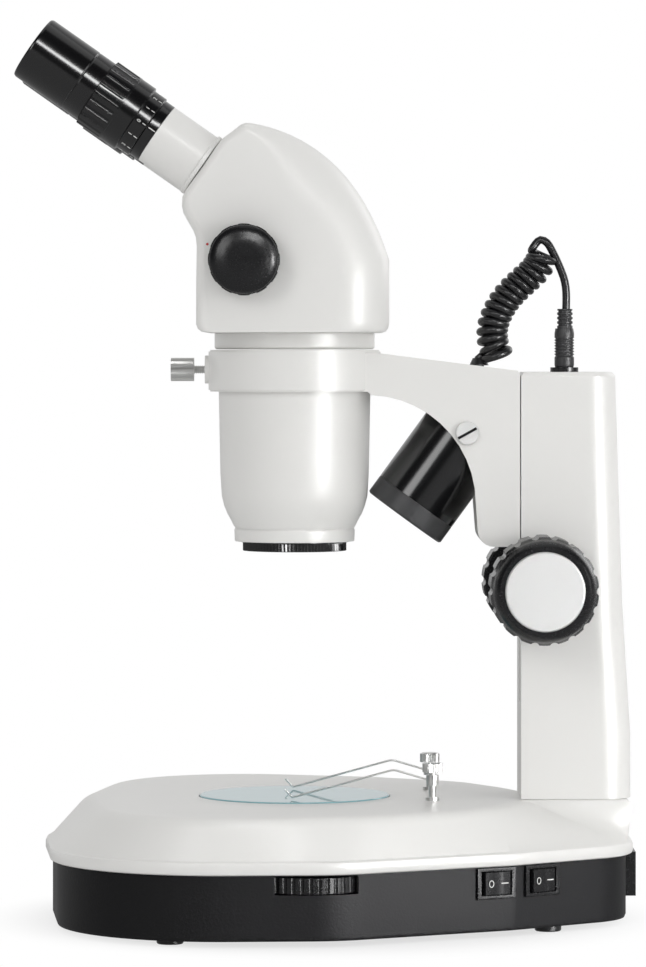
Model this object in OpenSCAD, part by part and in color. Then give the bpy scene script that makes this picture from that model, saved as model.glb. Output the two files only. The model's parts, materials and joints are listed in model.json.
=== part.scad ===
// Stereo zoom microscope on a lit base: rack-and-pinion focusing column, tilting top lamp,
// zoom head with two inclined eyepieces.
// Frame: millimetres, +Z up, rear of the base at +X, eyepieces lean towards -X.
// The origin is at the middle of the footprint, on the surface that the feet stand on.

/* [Base] */
// Height of the rubber feet
foot_h = 3; // [2:0.5:6]
// Height of the joint between the black pan and the white cover
lip_z = 34.5; // [32:0.5:38]
// Height of the top of the rounded lip of the cover
shoulder_z = 41; // [40:0.5:46]
// Height of the flat top of the base
deck_z = 61; // [58:0.5:70]
// How far the pan stands back under the lip
pan_inset = 3.5; // [2:0.5:6]
// Wall of the pan and of the cover
shell_wall = 2.5; // [2:0.25:4]

/* [Stage] */
// Diameter of the round stage plate
stage_d = 94.6; // [90:0.2:96]
// Thickness of the stage plate
stage_t = 3; // [2:0.5:4]
// Reach of a stage clip in front of its post
clip_reach = 73; // [60:1:78]

/* [Column] */
// Front face of the column
column_front_x = 97; // [95:1:99]
// Height of the top of the column
column_top_z = 272.5; // [268:0.5:285]
// Half width of the column
column_half_w = 24; // [22:0.5:26]
// Height of the focus shaft
focus_z = 166; // [160:1:170]
// Diameter of a focus knob
focus_knob_d = 53; // [46:1:56]

/* [Arm] */
// Half width of the arm
arm_half_w = 25; // [24.5:0.5:26]
// Wall of the arm
arm_wall = 2.5; // [2:0.1:2.5]
// Bore of the head ring
ring_bore = 76; // [76:0.1:76.4]

/* [Lamp] */
// Diameter of the lamp barrel
lamp_d = 44; // [38:0.5:44]
// Lean of the lamp axis from the vertical, in degrees
lamp_lean = 36; // [30:1:38]

/* [Head] */
// Half width of the head housing
head_half_w = 51; // [50:1:56]
// Diameter of a zoom knob
zoom_knob_d = 35; // [28:1:38]
// Distance between the two eyepiece axes
eye_gap = 65; // [62:1:66]
// Rise of the eyepieces above the horizontal, in degrees
eye_rise = 35; // [33:1:36]

/* [Lamp cord] */
// Diameter of the lamp cord
cord_d = 3.8; // [3:0.2:4]
// Outer diameter of its curly stretch
coil_d = 15.8; // [14:0.2:17]

/* [Hidden] */
$fn = 64;

optic_x = -15.2;          // optical axis: head, ring and stage share it
run_gap = 0.05;           // radial running clearance of a shaft
safe_gap = 0.3;           // clearance between parts that pass each other
white = [0.87, 0.865, 0.85];
black = [0.08, 0.08, 0.085];
steel = [0.72, 0.73, 0.74];
brass = [0.72, 0.58, 0.3];
board_green = [0.08, 0.3, 0.16];
glass = [0.55, 0.78, 0.8, 0.6];

// Base outline: a row is [x, |y|, radius] of a disc, and the outline is the hull of them all
lip_discs = [[-14.4, 0, 125], [-50, 48, 85], [-10, 68, 63], [60.2, 34.6, 60], [112.5, 20.5, 40]];
deck_discs = [[-9, 0, 110], [-43, 60, 66.5], [0, 52, 62], [36, 46, 48], [75.7, 4, 20]];
rear_discs = [lip_discs[3], lip_discs[4]];
foot_at = [[-74, 109], [108.8, 57]];
base_screw_at = [[-92, 66], [62, 62]];
column_bolt_at = [[108, 15], [136, 11]];

column_rear_x = 152;      // rear of the column at its foot
column_waist_x = 148;     // rear of the column at waist_z
column_head_x = 144.5;    // rear of the column at its top
flare_z = 92;             // the foot is upright up to here
waist_z = 157;
column_wall = 3;
rear_corner_r = 15;
slot_half_w = 8.5;        // slot in the column's front face
slot_z = [108, 268.5];

dimmer_at = [-8, -99.6];
dimmer_r = 30;
dimmer_z = [25.6, 33.1];
rib_pitch = 4.2;
slot_x = [-24, 15.9];

// A switch stands at [x, y], on a wall that runs at an angle in degrees
switch_at = [[81.9, -86.6, 27.6], [104.6, -71.8, 36.8]];
switch_z = 26.4;
bezel_w = 21;
bezel_h = 15;
bezel_proud = 2;
rocker_w = 16;
rocker_h = 11;
pin_r = 1.1;              // pin that a rocker turns on

focus_x = 106.8;
pitch_r = 6;              // focus pinion, module 1
pinion_teeth = 12;
zoom_x = -39.5;
zoom_z = 327.5;
zoom_pitch_r = 5;         // zoom pinion, module 1
zoom_teeth = 10;
shaft_r = 4;
zoom_shaft_r = 3;

ring_z = [262.75, 283.5];
ring_r = 43;
clamp_z = 273.7;
arm_rear_x = 96.5;
arm_foot_z = 186;

lamp_pivot = [70.4, 0, 242.2];
lamp_front = -52.5;       // along the lamp axis, from the pivot
lamp_back = 9.5;

housing_z = 292;
eye_face = [-59.8, 373.8];        // middle of the sloping face, [x, z]
tube_r = 15.7;
tube_len = 28.3;

// Side outline of the head housing, [x, z], without its rounded back
housing_front = [[-59.5, housing_z], [-63.2, 295], [-62.9, 338.3], [-66.2, 344.5], [-69.8, 351],
    [-69.1, 360.5], [-50.5, 387.1], [-41.5, 393.6], [-37.1, 394.8]];
housing_back = [[31.8, 327.7], [31.8, 295], [28.5, housing_z]];
back_bend = [13, 388];             // the back curve bends towards this corner

plug_x = 119.6;
cord_r = cord_d / 2;
plug_top = 304;
gland_at = [77, 275.4];
// Cord routes, [x, z], all in the plane y = 0
lead_route = [[120.5, plug_top], [120.6, 310], [120.3, 315], [119.2, 320], [116.4, 327],
    [113.4, 333.2], [111, 337], [107.8, 338.6], [105.2, 337], [104.8, 334.6], [106.4, 332.4]];
coil_route = [[109, 331.5], [107.3, 326.8], [104.2, 322.6], [98.3, 317.2], [92.3, 311.3],
    [87.3, 304.2], [84, 296], [83.6, 291], [84.1, 286.5]];
tail_route = [[84.2, 285.9], [84.3, 284.4], [82.6, 282.8], [79.6, 282.2], [77.6, 281.2], [77, 279.4]];

// ---------- helpers ----------
function knurl(r, depth, n) =
    [for (i = [0 : 2 * n - 1]) (i % 2 == 0 ? r : r - depth) * [cos(i * 180 / n), sin(i * 180 / n)]];

// Points of a three-point bend from p to q towards corner c
function bend(p, c, q, n) =
    [for (i = [0 : n]) let (t = i / n) (1 - t) * (1 - t) * p + 2 * t * (1 - t) * c + t * t * q];

// Trapezoid gear outline: tooth thickness is a little under half the pitch, for backlash
function gear_points(r, n) = [for (i = [0 : n - 1]) for (k = [[-1.25, -5.4], [0.8, -2.6], [0.8, 2.6], [-1.25, 5.4]])
    let (a = (i + 0.5) * 360 / n + k[1] * 12 / n) (r + k[0]) * [cos(a), sin(a)]];

// Rack outline, [x, z]: the bar is at x < 0, teeth point along +x, and one is centred on z = 0
function rack_points(half_len, bar) = concat([[-bar, -half_len]],
    [for (i = [-floor(half_len / PI) + 1 : floor(half_len / PI) - 1]) each
        [[-1.2, i * PI - 0.95], [0.8, i * PI - 0.35], [0.8, i * PI + 0.35], [-1.2, i * PI + 0.95]]],
    [[-bar, half_len]]);

function unit(v) = v / norm(v);
function heading(route, i) =
    unit(route[min(i + 1, len(route) - 1)] - route[max(i - 1, 0)]);

// A round cord or coil swept along a route in the plane y = 0
module swept(route, r, sides) {
    points = [for (i = [0 : len(route) - 1]) for (k = [0 : sides - 1])
        let (h = heading(route, i), c = r * cos(k * 360 / sides), s = r * sin(k * 360 / sides))
        [route[i][0] - h[1] * c, s, route[i][1] + h[0] * c]];
    last = (len(route) - 1) * sides;
    faces = concat([[for (k = [sides - 1 : -1 : 0]) k]],
        [for (i = [0 : len(route) - 2]) for (k = [0 : sides - 1])
            [i * sides + k, i * sides + (k + 1) % sides, (i + 1) * sides + (k + 1) % sides, (i + 1) * sides + k]],
        [[for (k = [0 : sides - 1]) last + k]]);
    polyhedron(points, faces, convexity = 6);
}

module discs(rows, inset, z, h) {
    for (d = rows) for (s = d[1] == 0 ? [1] : [-1, 1])
        translate([d[0], s * d[1], z]) cylinder(r = d[2] - inset, h = h, $fn = 72);
}

module both_sides() {
    children();
    mirror([0, 1, 0]) children();
}

// Lays a flat [x, z] outline across the object, from -half to +half in y
module across(half) {
    rotate([90, 0, 0]) translate([0, 0, -half]) linear_extrude(2 * half) children();
}

module ring(r_out, r_in, z, h) {
    difference() {
        translate([0, 0, z]) cylinder(r = r_out, h = h);
        translate([0, 0, z - 1]) cylinder(r = r_in, h = h + 2);
    }
}

// A round bar from p to q, both [x, z]
module bar_xz(p, q, r) {
    translate([p[0], 0, p[1]]) rotate([0, atan2(q[0] - p[0], q[1] - p[1]), 0])
        cylinder(r = r, h = norm(q - p), $fn = 16);
}

// Turns local +z along the y axis
module along_y(x, z) { translate([x, 0, z]) rotate([-90, 0, 0]) children(); }

// ---------- base ----------
module pan_block(inset, z, round_z) {
    hull() {
        discs(lip_discs, inset + 0.7, z, 1);
        discs(lip_discs, inset, round_z, lip_z - round_z);
    }
}

module base_pan() {
    wall = pan_inset + shell_wall;
    color(black) difference() {
        union() {
            difference() {
                pan_block(pan_inset, foot_h, foot_h + 1.7);
                hull() {
                    discs(lip_discs, wall + 1, foot_h + shell_wall, 1);
                    discs(lip_discs, wall, foot_h + 5, lip_z);
                }
            }
            both_sides() for (p = base_screw_at)
                translate([p[0], p[1], foot_h + 1]) cylinder(d = 10, h = lip_z - foot_h - 1);
        }
        both_sides() for (p = base_screw_at) {
            translate([p[0], p[1], 0]) cylinder(d = 4.4, h = 60, $fn = 32);
            translate([p[0], p[1], 0]) cylinder(d = 8, h = 8, $fn = 32);
        }
        both_sides() for (p = foot_at)
            translate([p[0], p[1], 0]) cylinder(d = 5, h = 20, $fn = 32);
        translate([slot_x[0], -140, dimmer_z[0] - 0.6]) cube([slot_x[1] - slot_x[0], 22, lip_z - dimmer_z[0]]);
        for (s = switch_at) switch_frame(s) {
            cube([rocker_w + 3, 20, rocker_h + 2], center = true);
            translate([-bezel_w / 2 - 0.3, -6, -bezel_h / 2 - 0.3]) cube([bezel_w + 0.6, 6, bezel_h + 0.6]);
        }
        translate([140, -13.5, 13.5]) cube([20, 27, 19.5]);
    }
}

module base_cover() {
    t = shell_wall;
    color(white) difference() {
        union() {
            difference() {
                union() {
                    hull() {
                        discs(lip_discs, 1.4, lip_z, 1);
                        discs(lip_discs, 0, lip_z + 2, 2.5);
                        discs(lip_discs, 1.2, shoulder_z - 0.6, 0.6);
                    }
                    hull() {
                        discs(lip_discs, 1.6, shoulder_z - 0.5, 0.5);
                        discs(deck_discs, 0, deck_z - 0.5, 0.5);
                    }
                    hull() {
                        discs(rear_discs, 1.6, shoulder_z - 0.5, 0.5);
                        column_foot(0, deck_z - 0.5, 0.5);
                    }
                }
                hull() {
                    discs(lip_discs, pan_inset + t, lip_z - 1, shoulder_z - lip_z);
                    discs(deck_discs, t + 1, deck_z - t - 1, 1);
                }
                hull() {
                    discs(rear_discs, pan_inset + t, lip_z - 1, shoulder_z - lip_z);
                    column_foot(t + 1, deck_z - t - 1, 1);
                }
            }
            translate([optic_x, 0, deck_z - 6]) cylinder(d = stage_d + 8, h = 5.9, $fn = 96);
            both_sides() for (p = base_screw_at)
                translate([p[0], p[1], lip_z]) cylinder(d = 10, h = deck_z - lip_z - 1);
            both_sides() translate([53, 29.5, deck_z - 6]) cylinder(d = 9, h = 5.5);
        }
        translate([optic_x, 0, deck_z + 0.5 - stage_t]) cylinder(d = stage_d + 0.4, h = 10, $fn = 96);
        translate([optic_x, 0, 40]) cylinder(d = stage_d - 8, h = 30, $fn = 96);
        both_sides() for (p = base_screw_at)
            translate([p[0], p[1], 0]) cylinder(d = 4, h = deck_z - 7, $fn = 32);
        both_sides() for (p = column_bolt_at)
            translate([p[0], p[1], 40]) cylinder(d = 5.3, h = 40, $fn = 32);
        both_sides() translate([53, 29.5, 50]) cylinder(d = 4, h = 20, $fn = 32);
    }
}

module rubber_feet() {
    color(black) both_sides() for (p = foot_at) translate([p[0], p[1], 0]) {
        cylinder(r1 = 6, r2 = 6.5, h = 0.6);
        translate([0, 0, 0.6]) cylinder(r = 6.5, h = foot_h - 0.6);
        translate([0, 0, foot_h]) cylinder(d = 4.8, h = shell_wall + 1, $fn = 32);
    }
}

module base_screws() {
    color(steel) both_sides() for (p = base_screw_at) translate([p[0], p[1], 0]) difference() {
        union() {
            translate([0, 0, 8]) cylinder(d = 3.8, h = 40, $fn = 32);
            translate([0, 0, 5]) cylinder(d = 7.2, h = 3, $fn = 32);
        }
        translate([-4, -0.5, 4]) cube([8, 1, 2]);
    }
}

module stage_plate() {
    color(glass) translate([optic_x, 0, deck_z + 0.5 - stage_t]) {
        cylinder(d = stage_d, h = stage_t - 0.5, $fn = 96);
        translate([0, 0, stage_t - 0.5]) cylinder(d1 = stage_d, d2 = stage_d - 1, h = 0.5, $fn = 96);
    }
}

// Ring of lamps under the stage plate, on its own board and three posts
module stage_lamp_board() {
    color(board_green) translate([optic_x, 0, 0]) {
        translate([0, 0, 34]) cylinder(d = 72, h = 1.6);
        for (a = [0 : 45 : 315]) rotate([0, 0, a]) translate([26, 0, 35.6]) cylinder(d = 5, h = 4, $fn = 24);
        for (a = [60, 180, 300]) rotate([0, 0, a])
            translate([32, 0, foot_h + shell_wall + 0.01]) cylinder(d = 6, h = 34 - foot_h - shell_wall, $fn = 24);
    }
}

module power_board() {
    color(board_green) {
        translate([40, -27, 11]) cube([84, 54, 1.6]);
        for (x = [45, 119]) both_sides() translate([x, 22, foot_h + shell_wall + 0.01])
            cylinder(d = 5, h = 11 - foot_h - shell_wall, $fn = 24);
        translate([48, -20, 12.6]) cube([30, 26, 22]);
        translate([90, 14, 12.6]) cylinder(d = 14, h = 20, $fn = 32);
        translate([90, -16, 12.6]) cube([26, 16, 12]);
    }
}

module mains_inlet() {
    color(black) difference() {
        union() {
            translate([149.1, -15, 12.3]) cube([5.3, 30, 21.9]);
            translate([128, -13, 14]) cube([21.2, 26, 18.5]);
        }
        translate([138, -11.5, 16]) cube([20, 23, 14.5]);
    }
    color(steel) for (p = [[-7, 21.5], [0, 25], [7, 21.5]])
        translate([137, p[0] - 1, p[1] - 2]) cube([14, 2, 4]);
}

// Local frame of a switch: x along the wall, -y out of it, z up
module switch_frame(s) { translate([s[0], s[1], switch_z]) rotate([0, 0, s[2]]) children(); }

module switch_bezels() {
    color(black) for (s = switch_at) switch_frame(s) difference() {
        union() {
            translate([-bezel_w / 2, -bezel_proud, -bezel_h / 2]) cube([bezel_w, bezel_proud, bezel_h]);
            translate([-rocker_w / 2 - 1.2, -1, -rocker_h / 2 - 0.8]) cube([rocker_w + 2.4, 19, rocker_h + 1.6]);
        }
        translate([-rocker_w / 2 - 0.3, -10, -rocker_h / 2 - 0.3]) cube([rocker_w + 0.6, 24, rocker_h + 0.6]);
    }
    color(steel) for (s = switch_at) switch_frame(s)
        cylinder(r = pin_r, h = rocker_h + 1.6, center = true, $fn = 32);
}

// A rocker leans on the upright pin of its bezel, with one end pressed in
module rocker(s) {
    color(black) switch_frame(s) rotate([0, 0, 7]) difference() {
        translate([-rocker_w / 2 + 0.6, -bezel_proud - 0.6, -rocker_h / 2]) cube([rocker_w - 1.2, 6, rocker_h]);
        translate([0, -24.3, 0]) cylinder(r = 22, h = 40, center = true, $fn = 96);
        cylinder(r = pin_r + run_gap, h = 40, center = true, $fn = 32);
    }
}
module rocker_front() { rocker(switch_at[0]); }
module rocker_rear() { rocker(switch_at[1]); }

module dimmer_wheel() {
    ribs = round(2 * PI * dimmer_r / rib_pitch);
    color(black) translate([dimmer_at[0], dimmer_at[1], 0]) {
        translate([0, 0, dimmer_z[0]]) linear_extrude(dimmer_z[1] - dimmer_z[0])
            difference() {
                circle(r = dimmer_r, $fn = 96);
                for (i = [0 : ribs - 1]) rotate(i * 360 / ribs) translate([dimmer_r + 0.4, 0]) circle(r = 1.2, $fn = 16);
            }
        translate([0, 0, 14]) cylinder(r = 3, h = 14);
    }
}

module dimmer_pot() {
    color(steel) translate([dimmer_at[0], dimmer_at[1], 0]) difference() {
        union() {
            translate([0, 0, 12]) cylinder(d = 17, h = 11);
            translate([-10, -8.5, foot_h + shell_wall + 0.01]) cube([20, 17, 12 - foot_h - shell_wall]);
        }
        translate([0, 0, 13.6]) cylinder(r = 3 + run_gap, h = 20);
    }
}

// ---------- stage clips ----------
module clip_posts() {
    color(steel) both_sides() translate([53, 29.5, 0]) {
        translate([0, 0, deck_z - 8]) cylinder(d = 3.8, h = 8);
        translate([0, 0, deck_z + 0.01]) cylinder(d = 7, h = 1.6);
        translate([0, 0, deck_z]) cylinder(d = 3.6, h = 14.4);
        translate([0, 0, 75.1]) linear_extrude(4.2) polygon(knurl(4.9, 0.35, 30));
        translate([0, 0, 79.3]) cylinder(r1 = 4.5, r2 = 4, h = 0.5);
    }
}

// Line of a clip's wire, [x, z] from its post: up to a knee, down to the plate, then a turned-up tip
clip_route = concat([[-2.3, 71.2], [-16.5, 75.4]], bend([-17.5, 75.7], [-19.5, 76.2], [-21.6, 75.5], 4),
    [[-30, 73.2], [5 - clip_reach, 62.8]], bend([4.6 - clip_reach, 62.7], [3.6 - clip_reach, 62.4], [3.4 - clip_reach, 63], 3),
    [[-clip_reach, 66.6]]);

// The left clip is the one on the +y side
module stage_clip(side) {
    color(steel) translate([53, side * 29.5, 0]) {
        difference() {
            translate([0, 0, 68.6]) cylinder(d = 6.2, h = 5);
            translate([0, 0, 66]) cylinder(r = 1.8 + run_gap, h = 12);
        }
        swept(clip_route, 0.5, 12);
    }
}
module stage_clip_left() { stage_clip(1); }
module stage_clip_right() { stage_clip(-1); }

// ---------- column ----------
module column_section(front, rear, half, corner, z, h) {
    translate([front, -half, z]) cube([20, 2 * half, h]);
    for (s = [-1, 1]) translate([rear - corner, s * (half - corner), z]) cylinder(r = corner, h = h, $fn = 48);
}

module column_foot(inset, z, h) {
    column_section(column_front_x + inset, column_rear_x - inset, column_half_w - inset, rear_corner_r - inset, z, h);
}

// The column's outer shape, or its hollow when inset by the wall
module column_block(inset, z0, z1) {
    f = column_front_x + inset;
    w = column_half_w - inset;
    c = rear_corner_r - inset;
    hull() {
        column_section(f, column_rear_x - inset, w, c, z0, flare_z - z0);
        column_section(f, column_waist_x - inset, w, c, waist_z - 1, 1);
    }
    hull() {
        column_section(f, column_waist_x - inset, w, c, waist_z - 1, 1);
        column_section(f, column_head_x - inset, w, c, z1 - 3, 1);
        column_section(f + 1.5, column_head_x - inset - 1.5, w - 1.5, c, z1 - 1, 1);
    }
}

module column() {
    color(white) difference() {
        column_block(0, deck_z, column_top_z);
        column_block(column_wall, deck_z + 6, column_top_z - column_wall);
        translate([column_front_x - 1, -slot_half_w, slot_z[0]])
            cube([column_wall + 2, 2 * slot_half_w, slot_z[1] - slot_z[0]]);
        both_sides() for (p = column_bolt_at)
            translate([p[0], p[1], deck_z - 1]) cylinder(d = 5, h = 20, $fn = 32);
        along_y(focus_x, focus_z) cylinder(d = 14, h = 80, center = true);
        translate([plug_x, 0, column_top_z - 10]) cylinder(d = 10.4, h = 20);
    }
}

module column_bolts() {
    color(steel) both_sides() for (p = column_bolt_at) translate([p[0], p[1], 0]) {
        translate([0, 0, deck_z - shell_wall - 5.2]) cylinder(d = 8.5, h = 4);
        translate([0, 0, deck_z - shell_wall - 1.2]) cylinder(d = 4.8, h = 9.6 + shell_wall, $fn = 32);
    }
}

// Two angle rails behind the column's front wall, that the carriage runs against
module slide_rails() {
    color(steel) both_sides() translate([0, 0, 176]) linear_extrude(88)
        polygon([[column_front_x + column_wall + 0.01, 14.4], [column_front_x + column_wall + 0.01, 17.5],
            [105.5, 17.5], [105.5, 9.5], [102.8, 9.5], [102.8, 14.4]]);
}

module shaft_bushes() {
    color(brass) both_sides() along_y(focus_x, focus_z) difference() {
        union() {
            translate([0, 0, 18.5]) cylinder(d = 13.9, h = 6);
            translate([0, 0, column_half_w + 0.01]) cylinder(d = 17, h = 1.6);
        }
        translate([0, 0, 10]) cylinder(r = shaft_r + run_gap, h = 20);
    }
}

// ---------- focus drive ----------
module pinion_shaft() {
    color(steel) along_y(focus_x, focus_z) {
        cylinder(r = shaft_r, h = 124, center = true);
        translate([0, 0, -4]) linear_extrude(8) polygon(gear_points(pitch_r, pinion_teeth));
    }
}

module focus_knob() {
    r = focus_knob_d / 2;
    difference() {
        rotate_extrude($fn = 96) polygon([[shaft_r + run_gap, 27], [15, 27], [17, 29], [17, 33], [r - 1, 33], [r, 34],
            [r, 66], [r - 1.2, 68.5], [r - 2, 71.5], [r - 3.2, 73.6], [r - 4.6, 74.6], [19.7, 74.6], [19.7, 73],
            [shaft_r + run_gap, 73]]);
        for (a = [0 : 20 : 340]) rotate(a) translate([r + 1.2, 0, 31]) cylinder(r = 2.4, h = 39, $fn = 24);
    }
}

module focus_knobs() { color(black) both_sides() along_y(focus_x, focus_z) focus_knob(); }

module focus_knob_discs() {
    color(steel) both_sides() along_y(focus_x, focus_z) {
        translate([0, 0, 73.01]) cylinder(d = 39, h = 1.2, $fn = 96);
        translate([0, 0, 74.21]) cylinder(d1 = 39, d2 = 37.6, h = 0.5, $fn = 96);
    }
}

module slide_carriage() {
    f = column_front_x;
    color(steel) {
        translate([0, 0, 143.4]) linear_extrude(108.6) polygon([[f + 0.3, -8.2], [f + 0.3, 8.2], [f + 3.3, 8.2],
            [f + 3.3, 14], [f + 5.4, 14], [f + 5.4, 5.3], [f + 1.6, 5.3], [f + 1.6, -5.3], [f + 5.4, -5.3],
            [f + 5.4, -14], [f + 3.3, -14], [f + 3.3, -8.2]]);
        translate([arm_rear_x + 0.01, -8.2, 190]) cube([0.9, 16.4, 58]);
    }
}

module focus_rack() {
    color(steel) translate([focus_x - pitch_r, 0, focus_z + 3 * PI]) across(5) polygon(rack_points(32, 2.19));
}

// ---------- arm ----------
arm_arc = [for (a = [88 : -8 : 0]) [21, 207.5] + 53.6 * [cos(a), sin(a)]];
arm_side = concat([[8, 262.75], [21, 262.75]], arm_arc,
    [for (a = [180 : 15 : 270]) [75.6 + 8, arm_foot_z + 8] + 8 * [cos(a), sin(a)]],
    [[arm_rear_x, arm_foot_z], [arm_rear_x, 271.9], [95.2, 273.2], [26.7, 281.8], [8, 282.4]]);

module arm() {
    w = arm_wall;
    color(white) difference() {
        union() {
            difference() {
                across(arm_half_w) polygon(arm_side);
                across(arm_half_w - w) polygon([[30, 200], [30, 258], [34, 262.7], [38, 277.6], [arm_rear_x - w, 270.4],
                    [arm_rear_x - w, arm_foot_z + w], [70, arm_foot_z + w]]);
            }
            translate([optic_x, 0, ring_z[0]]) cylinder(r = ring_r - 0.8, h = ring_z[1] - ring_z[0], $fn = 96);
            translate([optic_x, 0, ring_z[0] + 0.8]) cylinder(r = ring_r, h = ring_z[1] - ring_z[0] - 1.6, $fn = 96);
            translate([optic_x - ring_r - 1.8, 0, clamp_z]) rotate([0, 90, 0]) cylinder(d = 14, h = 10);
        }
        translate([optic_x, 0, 200]) cylinder(d = ring_bore, h = 120, $fn = 96);
        translate([-80, 0, clamp_z]) rotate([0, 90, 0]) cylinder(r = 2 + run_gap, h = 60, $fn = 32);
        along_y(lamp_pivot[0], lamp_pivot[2]) cylinder(r = 2.5 + run_gap, h = 80, center = true, $fn = 32);
        translate([gland_at[0], 0, 260]) cylinder(d = 5.2, h = 30, $fn = 32);
        translate([gland_at[0], 0, gland_at[1]]) cylinder(r = 5.3, h = 10);
    }
}

module clamp_stud() {
    reach = optic_x - 38 + 66 - 0.2;
    color(steel) translate([-66, 0, clamp_z]) rotate([0, 90, 0]) rotate_extrude($fn = 32) polygon(concat([[0, 0], [2, 0]],
        [for (z = [1 : 5]) each [[2, z], [1.7, z + 0.25], [1.7, z + 0.45], [2, z + 0.7]]], [[2, reach], [0, reach]]));
}

module clamp_knob() {
    color(steel) translate([-77, 0, clamp_z]) rotate([0, 90, 0]) difference() {
        linear_extrude(11.6) polygon(knurl(5.8, 0.5, 16));
        translate([0, 0, 11]) cylinder(r = 2, h = 5, $fn = 32);
    }
}

module cord_gland() {
    color(black) translate([gland_at[0], 0, gland_at[1] + 0.05]) difference() {
        union() {
            translate([0, 0, 0.3]) cylinder(r1 = 4.9, r2 = 3.2, h = 3.7);
            translate([0, 0, -6]) cylinder(d = 5, h = 7, $fn = 32);
        }
        translate([0, 0, -8]) cylinder(d = 3, h = 8);
    }
}

module lamp_cord_lead() { color(black) swept(lead_route, cord_r, 8); }
module lamp_cord_coil() { color(black) swept(coil_route, coil_d / 2, 12); }
module lamp_cord_tail() { color(black) swept(tail_route, cord_r, 8); }

module dc_jack() {
    color(black) translate([plug_x, 0, 0]) difference() {
        union() {
            translate([0, 0, column_top_z]) cylinder(d = 14, h = 2.3);
            translate([0, 0, column_top_z - 9]) cylinder(d = 10, h = 9);
        }
        translate([0, 0, column_top_z - 6]) cylinder(d = 5.6, h = 20, $fn = 32);
    }
}

module dc_plug() {
    color(black) translate([plug_x, 0, 0]) {
        translate([0, 0, column_top_z - 5]) cylinder(d = 5.4, h = 7.4, $fn = 32);
        translate([0, 0, column_top_z + 2.31]) rotate_extrude() polygon(concat([[0, 0], [4.6, 0], [4.9, 1.2], [4.9, 5]],
            [for (z = [5.6 : 1.4 : 14]) each [[4.4, z], [4.4, z + 0.5], [4.9, z + 0.7], [4.9, z + 1.2]]],
            [[4.9, 17], [4.5, 19.4], [0, 19.4]]));
        translate([0.3, 0, column_top_z + 21.7]) rotate_extrude() polygon(concat([[0, 0], [3.9, 0]],
            [for (z = [1.4 : 2.2 : 8]) each [[3.9, z - 0.1], [3.3, z + 0.2], [3.3, z + 0.8], [3.9, z + 1.1]]],
            [[3.7, plug_top - column_top_z - 21.7], [0, plug_top - column_top_z - 21.7]]));
    }
}

// ---------- lamp ----------
// Local frame of the lamp: +z along its axis towards the back, origin on the pivot
module lamp_frame() { translate(lamp_pivot) rotate([0, lamp_lean, 0]) children(); }

module lamp_housing() {
    r = lamp_d / 2;
    color(black) difference() {
        lamp_frame() rotate_extrude($fn = 96) polygon([[r - 2.5, lamp_front + 10.1], [r, lamp_front + 10.1],
            [r, lamp_back - 3], [r - 3, lamp_back], [0, lamp_back], [0, lamp_back - 2.5], [r - 2.5, lamp_back - 2.5]]);
        along_y(lamp_pivot[0], lamp_pivot[2]) cylinder(r = 2.5, h = 80, center = true, $fn = 32);
    }
}

module lamp_bezel() {
    r = lamp_d / 2;
    color(black) lamp_frame() rotate_extrude($fn = 96) polygon([[r - 4.5, lamp_front + 3], [r - 3.6, lamp_front],
        [r - 0.8, lamp_front], [r, lamp_front + 0.8], [r, lamp_front + 10], [r - 2.6, lamp_front + 10],
        [r - 2.6, lamp_front + 6.4], [r - 4.5, lamp_front + 6.4]]);
}

module lamp_lens() {
    color(glass) lamp_frame() translate([0, 0, lamp_front + 6.5]) cylinder(r = lamp_d / 2 - 2.8, h = 2);
}

module lamp_led_board() {
    color(board_green) lamp_frame() {
        translate([0, 0, lamp_front + 20]) cylinder(r = lamp_d / 2 - 2.6, h = 1.6);
        for (a = [0 : 60 : 300]) rotate(a) translate([11, 0, lamp_front + 14.5]) cylinder(d = 5, h = 5.6, $fn = 24);
        translate([0, 0, lamp_front + 21.6]) cylinder(r = 14, h = 14);
    }
}

module lamp_pivot_screws() {
    color(steel) both_sides() along_y(lamp_pivot[0], lamp_pivot[2]) difference() {
        union() {
            translate([0, 0, arm_half_w + 0.3]) cylinder(d1 = 11.8, d2 = 11, h = 2.4);
            translate([0, 0, lamp_d / 2 - 2.4]) cylinder(r = 2.5 - run_gap, h = arm_half_w - lamp_d / 2 + 2.8, $fn = 32);
        }
        rotate(-29) translate([-8, -0.7, arm_half_w + 1]) cube([16, 1.4, 3]);
    }
}

// ---------- head ----------
module head_barrel() {
    color(white) translate([optic_x, 0, 0]) rotate_extrude($fn = 96) polygon([[27, 188], [29.9, 188], [30.1, 194],
        [29.6, 194.4], [29.6, 194.8], [30.3, 195.5], [31.7, 198.4], [33.6, 201.8], [35.2, 205.8], [36.4, 210.6], [37.1, 222], [37.9, 262],
        [37.9, 283.4], [34, 283.4], [34, 224], [33, 211], [30, 203], [27, 197]]);
}

module neck_ring() {
    color(white) translate([optic_x, 0, 0]) rotate_extrude($fn = 96) polygon([[30, 283.8], [39.2, 283.8], [40, 284.6],
        [40, housing_z - 0.01], [30, housing_z - 0.01]]);
}

module objective_ring() {
    color(black) translate([optic_x, 0, 0]) difference() {
        union() {
            translate([0, 0, 183.3]) linear_extrude(4.2) polygon(knurl(25.9, 0.6, 90));
            translate([0, 0, 187.5]) cylinder(r = 26.8, h = 9, $fn = 96);
        }
        translate([0, 0, 180]) cylinder(r = 24, h = 12, $fn = 96);
        translate([0, 0, 190]) cylinder(r = 23, h = 12, $fn = 96);
    }
}

module objective_lens() {
    color(glass) translate([optic_x, 0, 0]) rotate_extrude($fn = 96) polygon([[0, 192.8], [12, 193.2], [22.8, 194.2],
        [22.8, 196.4], [12, 198], [0, 198.6]]);
}

housing_outline = concat(housing_front, bend(housing_front[8], back_bend, housing_back[0], 12),
    [housing_back[1], housing_back[2]]);

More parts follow.
